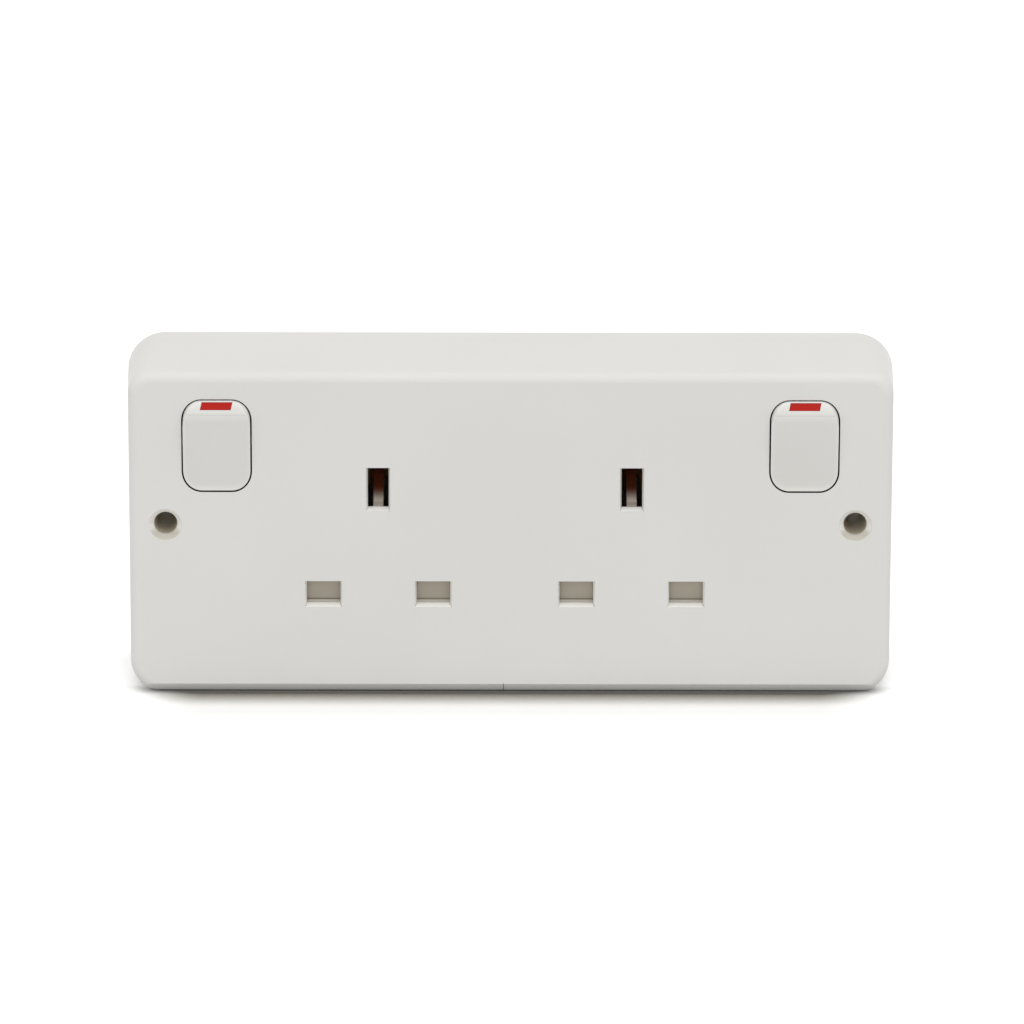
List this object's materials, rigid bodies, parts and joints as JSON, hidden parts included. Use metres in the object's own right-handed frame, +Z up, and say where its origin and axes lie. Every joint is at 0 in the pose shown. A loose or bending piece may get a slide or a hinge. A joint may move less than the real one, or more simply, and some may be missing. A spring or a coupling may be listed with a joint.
{
  "type": "extension socket",
  "caption": "White double socket outlet in a drafted box, with rocker switches, shuttered pin slots, a cable inlet in one end and screw fixing holes; stands on its long side.",
  "frame": {"origin": "centre of the flat foot face that the part stands on, under the middle of its depth", "axes": "+X right and +Z up, seen from the front; the front face looks along -Y and the back face along +Y"},
  "size_m": [0.1562, 0.0296, 0.0685],
  "materials": {
    "housing_white": "moulded white, satin gloss",
    "back_white": "moulded white, fine matt",
    "rocker_white": "moulded white, satin gloss",
    "flag_red": "moulded red",
    "shutter_grey": "moulded taupe",
    "carrier_plastic": "dark moulded thermoset",
    "plunger_plastic": "natural nylon",
    "brass": "rolled sheet",
    "contact_silver": "silver contact rivet",
    "spring_steel": "drawn wire",
    "screw_zinc": "zinc plated"
  },
  "bodies": {
    "housing": {"arm_bracket_left": "brass", "arm_bracket_right": "brass", "back_plate": "back_white", "cable_clamp": "back_white", "carrier_left": "carrier_plastic", "carrier_right": "carrier_plastic", "case_screws": "screw_zinc", "clamp_screws": "screw_zinc", "earth_bar": "brass", "earth_clip_left": "brass", "earth_clip_right": "brass", "fixed_contact_left": "contact_silver", "fixed_contact_right": "contact_silver", "front_cover": "housing_white", "live_bar": "brass", "live_clip_left": "brass", "live_clip_right": "brass", "live_link_left": "brass", "live_link_right": "brass", "neutral_bar": "brass", "neutral_clip_left": "brass", "neutral_clip_right": "brass", "shutter_spring_left": "spring_steel", "shutter_spring_right": "spring_steel", "terminal_earth": "brass", "terminal_live": "brass", "terminal_neutral": "brass", "terminal_screws": "screw_zinc"},
    "rocker_left": {"rocker_left": "rocker_white", "flag_left": "flag_red", "switch_spring_left": "spring_steel"},
    "plunger_left": {"plunger_left": "plunger_plastic"},
    "contact_arm_left": {"contact_arm_left": "brass"},
    "shutter_left": {"shutter_left": "shutter_grey"},
    "rocker_right": {"rocker_right": "rocker_white", "flag_right": "flag_red", "switch_spring_right": "spring_steel"},
    "plunger_right": {"plunger_right": "plunger_plastic"},
    "contact_arm_right": {"contact_arm_right": "brass"},
    "shutter_right": {"shutter_right": "shutter_grey"}
  },
  "joints": [
    {"name": "rocker_left_tilt", "type": "hinge", "parent": "housing", "child": "rocker_left", "pos_m": [-0.05917, -0.0104, 0.05288], "axis": [-1, 0, 0], "range_deg": [0, 13]},
    {"name": "plunger_left_slide", "type": "slide", "parent": "rocker_left", "child": "plunger_left", "axis": [0, -0.9936, -0.1132], "range_m": [0, 0.00025], "stiffness_N_per_m": 200, "springref_m": -0.002},
    {"name": "contact_arm_left_tilt", "type": "hinge", "parent": "housing", "child": "contact_arm_left", "pos_m": [-0.05917, -0.0004, 0.05288], "axis": [1, 0, 0], "range_deg": [0, 13]},
    {"name": "shutter_left_slide", "type": "slide", "parent": "housing", "child": "shutter_left", "axis": [0, 0, -1], "range_m": [0, 0.0054], "stiffness_N_per_m": 60, "springref_m": -0.006, "deforming": ["shutter_spring_left"]},
    {"name": "rocker_right_tilt", "type": "hinge", "parent": "housing", "child": "rocker_right", "pos_m": [0.05917, -0.0104, 0.05288], "axis": [-1, 0, 0], "range_deg": [0, 13]},
    {"name": "plunger_right_slide", "type": "slide", "parent": "rocker_right", "child": "plunger_right", "axis": [0, -0.9936, -0.1132], "range_m": [0, 0.00025], "stiffness_N_per_m": 200, "springref_m": -0.002},
    {"name": "contact_arm_right_tilt", "type": "hinge", "parent": "housing", "child": "contact_arm_right", "pos_m": [0.05917, -0.0004, 0.05288], "axis": [1, 0, 0], "range_deg": [0, 13]},
    {"name": "shutter_right_slide", "type": "slide", "parent": "housing", "child": "shutter_right", "axis": [0, 0, -1], "range_m": [0, 0.0054], "stiffness_N_per_m": 60, "springref_m": -0.006, "deforming": ["shutter_spring_right"]}
  ],
  "couplings": [
    {"joint": "contact_arm_left_tilt", "follows": "rocker_left_tilt", "ratio": 1},
    {"joint": "contact_arm_right_tilt", "follows": "rocker_right_tilt", "ratio": 1}
  ]
}
